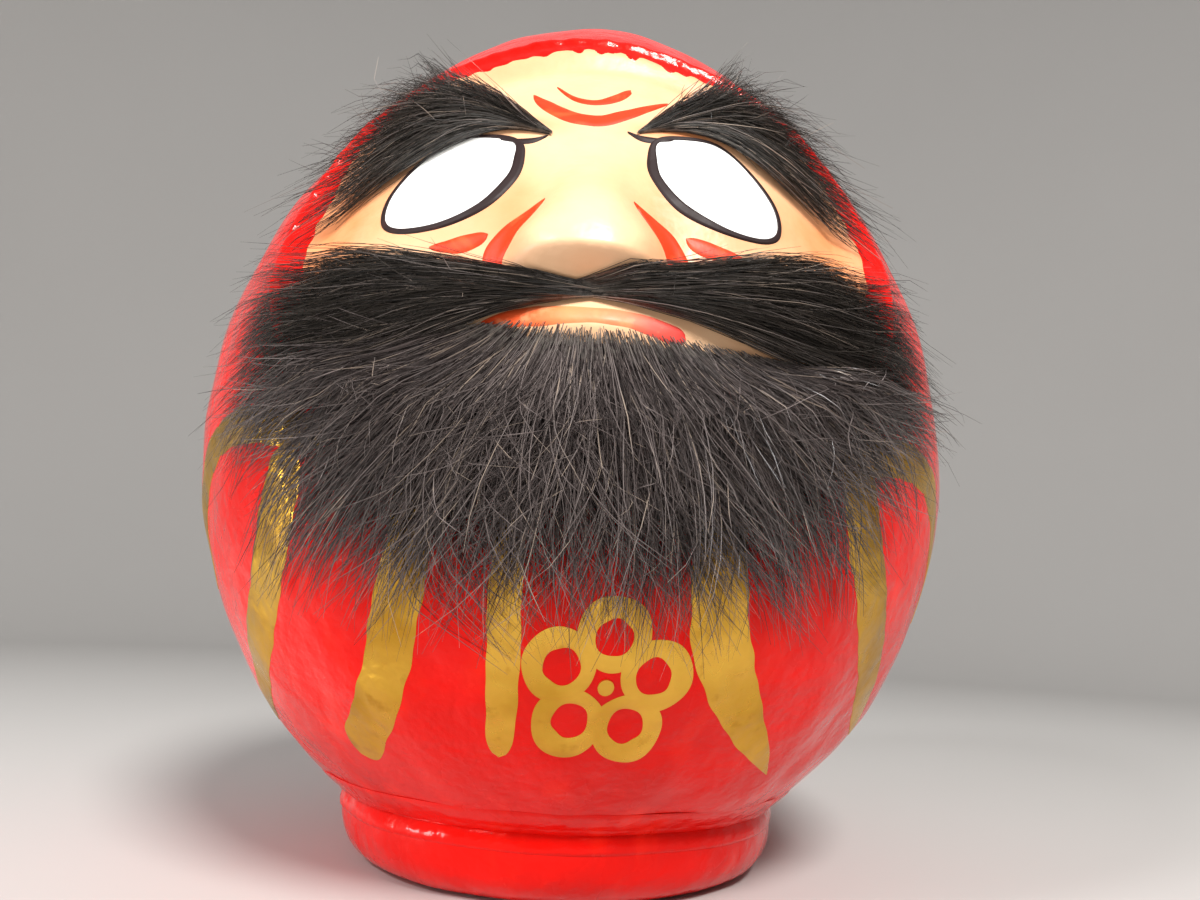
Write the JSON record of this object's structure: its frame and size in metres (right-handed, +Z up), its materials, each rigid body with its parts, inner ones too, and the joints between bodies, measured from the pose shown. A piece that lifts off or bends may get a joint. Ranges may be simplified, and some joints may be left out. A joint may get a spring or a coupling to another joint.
{
  "type": "daruma doll",
  "caption": "Round hollow paper roly-poly doll with a weighted clay foot, sunken painted face, bushy hair brows, moustache and beard, and gold brush strokes.",
  "frame": {"origin": "centre of the underside of the clay base, on the surface the doll stands on", "axes": "+Z up through the crown, -Y the way the face looks, +X to the right as the face is seen"},
  "size_m": [0.199, 0.2089, 0.235],
  "materials": {
    "red_lacquer": "gloss",
    "lacquered_clay": "gloss",
    "flesh_paint": "satin",
    "white_paint": "satin",
    "ink": "satin",
    "vermilion_paint": "satin",
    "gold_paint": "satin",
    "black_hair": "satin",
    "brown_hair": "satin"
  },
  "bodies": {
    "root": {"body_shell": "red_lacquer", "back_seam_strip": "red_lacquer", "neck_band": "red_lacquer", "clay_base": "lacquered_clay", "eyebrow_left": "black_hair", "eyebrow_right": "black_hair", "moustache_left": "black_hair", "moustache_right": "black_hair", "beard_far_left": "brown_hair", "beard_left": "brown_hair", "beard_centre": "brown_hair", "beard_right": "brown_hair", "beard_far_right": "brown_hair"}
  },
  "joints": []
}
